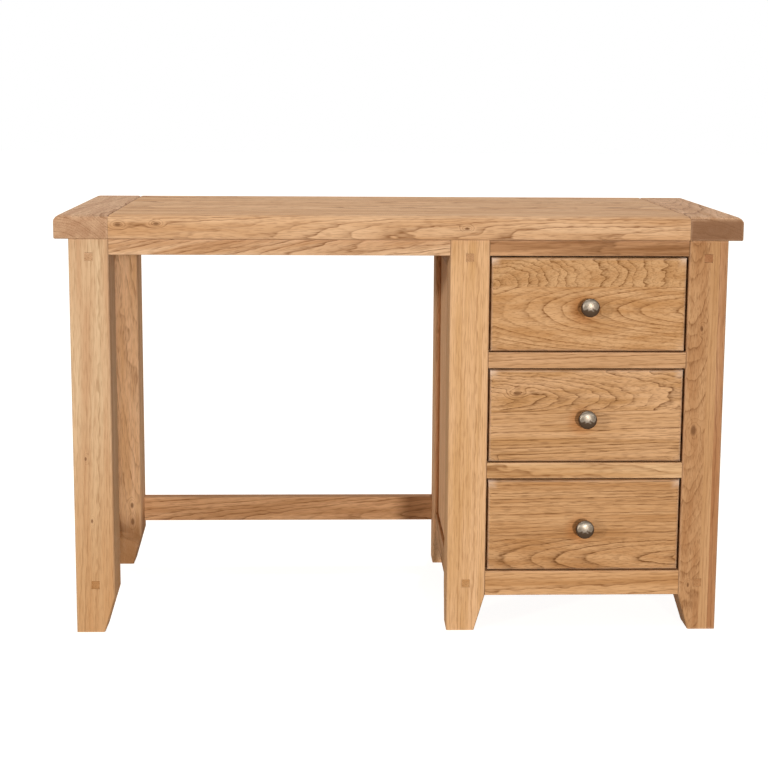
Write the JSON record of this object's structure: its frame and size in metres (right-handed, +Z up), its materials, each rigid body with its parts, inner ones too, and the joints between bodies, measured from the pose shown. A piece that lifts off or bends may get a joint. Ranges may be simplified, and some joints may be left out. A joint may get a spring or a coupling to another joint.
{
  "type": "dressing table",
  "caption": "Oak dressing table with an open kneehole on the left, a pedestal of dovetailed drawers on the right, square legs with tapered feet and a thick top with boarded ends.",
  "frame": {"origin": "On the floor, at the middle of the footprint, knobs included.", "axes": "+X to the right along the table's length, with the drawers at +X; -Y towards the person who sits at it; +Z up."},
  "size_m": [1.2, 0.52, 0.75],
  "materials": {
    "oak_top": "waxed honey oak with open grain",
    "oak_frame": "waxed honey oak, straight grain",
    "oak_front": "waxed honey oak, cathedral grain",
    "oak_peg": "waxed oak end grain",
    "drawer_lining": "pale, unwaxed, sanded",
    "knob_metal": "antique pewter, satin"
  },
  "bodies": {
    "table": {"top_panel": "oak_top", "top_end_left": "oak_top", "top_end_right": "oak_top", "leg_front_left": "oak_frame", "leg_front_centre": "oak_frame", "leg_front_right": "oak_frame", "leg_rear_left": "oak_frame", "leg_rear_centre": "oak_frame", "leg_rear_right": "oak_frame", "apron_front": "oak_frame", "apron_rear": "oak_frame", "stretcher_rear": "oak_frame", "drawer_rail_top": "oak_frame", "drawer_rail_upper": "oak_frame", "drawer_rail_lower": "oak_frame", "drawer_rail_bottom": "oak_frame", "back_rail_top": "oak_frame", "back_rail_bottom": "oak_frame", "back_panel": "oak_frame", "left_end_rail_top": "oak_frame", "left_end_rail_bottom": "oak_frame", "left_end_panel": "oak_frame", "pedestal_inner_rail_top": "oak_frame", "pedestal_inner_rail_bottom": "oak_frame", "pedestal_inner_panel": "oak_frame", "pedestal_outer_rail_top": "oak_frame", "pedestal_outer_rail_bottom": "oak_frame", "pedestal_outer_panel": "oak_frame", "peg_left_top": "oak_peg", "peg_left_bottom": "oak_peg", "peg_centre_top": "oak_peg", "peg_centre_bottom": "oak_peg", "peg_right_top": "oak_peg", "peg_right_bottom": "oak_peg", "runner_lower_left": "drawer_lining", "runner_lower_right": "drawer_lining", "runner_middle_left": "drawer_lining", "runner_middle_right": "drawer_lining", "runner_upper_left": "drawer_lining", "runner_upper_right": "drawer_lining", "kicker_left": "drawer_lining", "kicker_right": "drawer_lining"},
    "drawer_lower": {"drawer_lower_front": "oak_front", "drawer_lower_side_left": "drawer_lining", "drawer_lower_side_right": "drawer_lining", "drawer_lower_back": "drawer_lining", "drawer_lower_bottom": "drawer_lining", "drawer_lower_knob": "knob_metal"},
    "drawer_middle": {"drawer_middle_front": "oak_front", "drawer_middle_side_left": "drawer_lining", "drawer_middle_side_right": "drawer_lining", "drawer_middle_back": "drawer_lining", "drawer_middle_bottom": "drawer_lining", "drawer_middle_knob": "knob_metal"},
    "drawer_upper": {"drawer_upper_front": "oak_front", "drawer_upper_side_left": "drawer_lining", "drawer_upper_side_right": "drawer_lining", "drawer_upper_back": "drawer_lining", "drawer_upper_bottom": "drawer_lining", "drawer_upper_knob": "knob_metal"}
  },
  "joints": [
    {"name": "drawer_lower_slide", "type": "slide", "parent": "table", "child": "drawer_lower", "axis": [0, -1, 0], "range_m": [0, 0.3]},
    {"name": "drawer_middle_slide", "type": "slide", "parent": "table", "child": "drawer_middle", "axis": [0, -1, 0], "range_m": [0, 0.3]},
    {"name": "drawer_upper_slide", "type": "slide", "parent": "table", "child": "drawer_upper", "axis": [0, -1, 0], "range_m": [0, 0.3]}
  ]
}
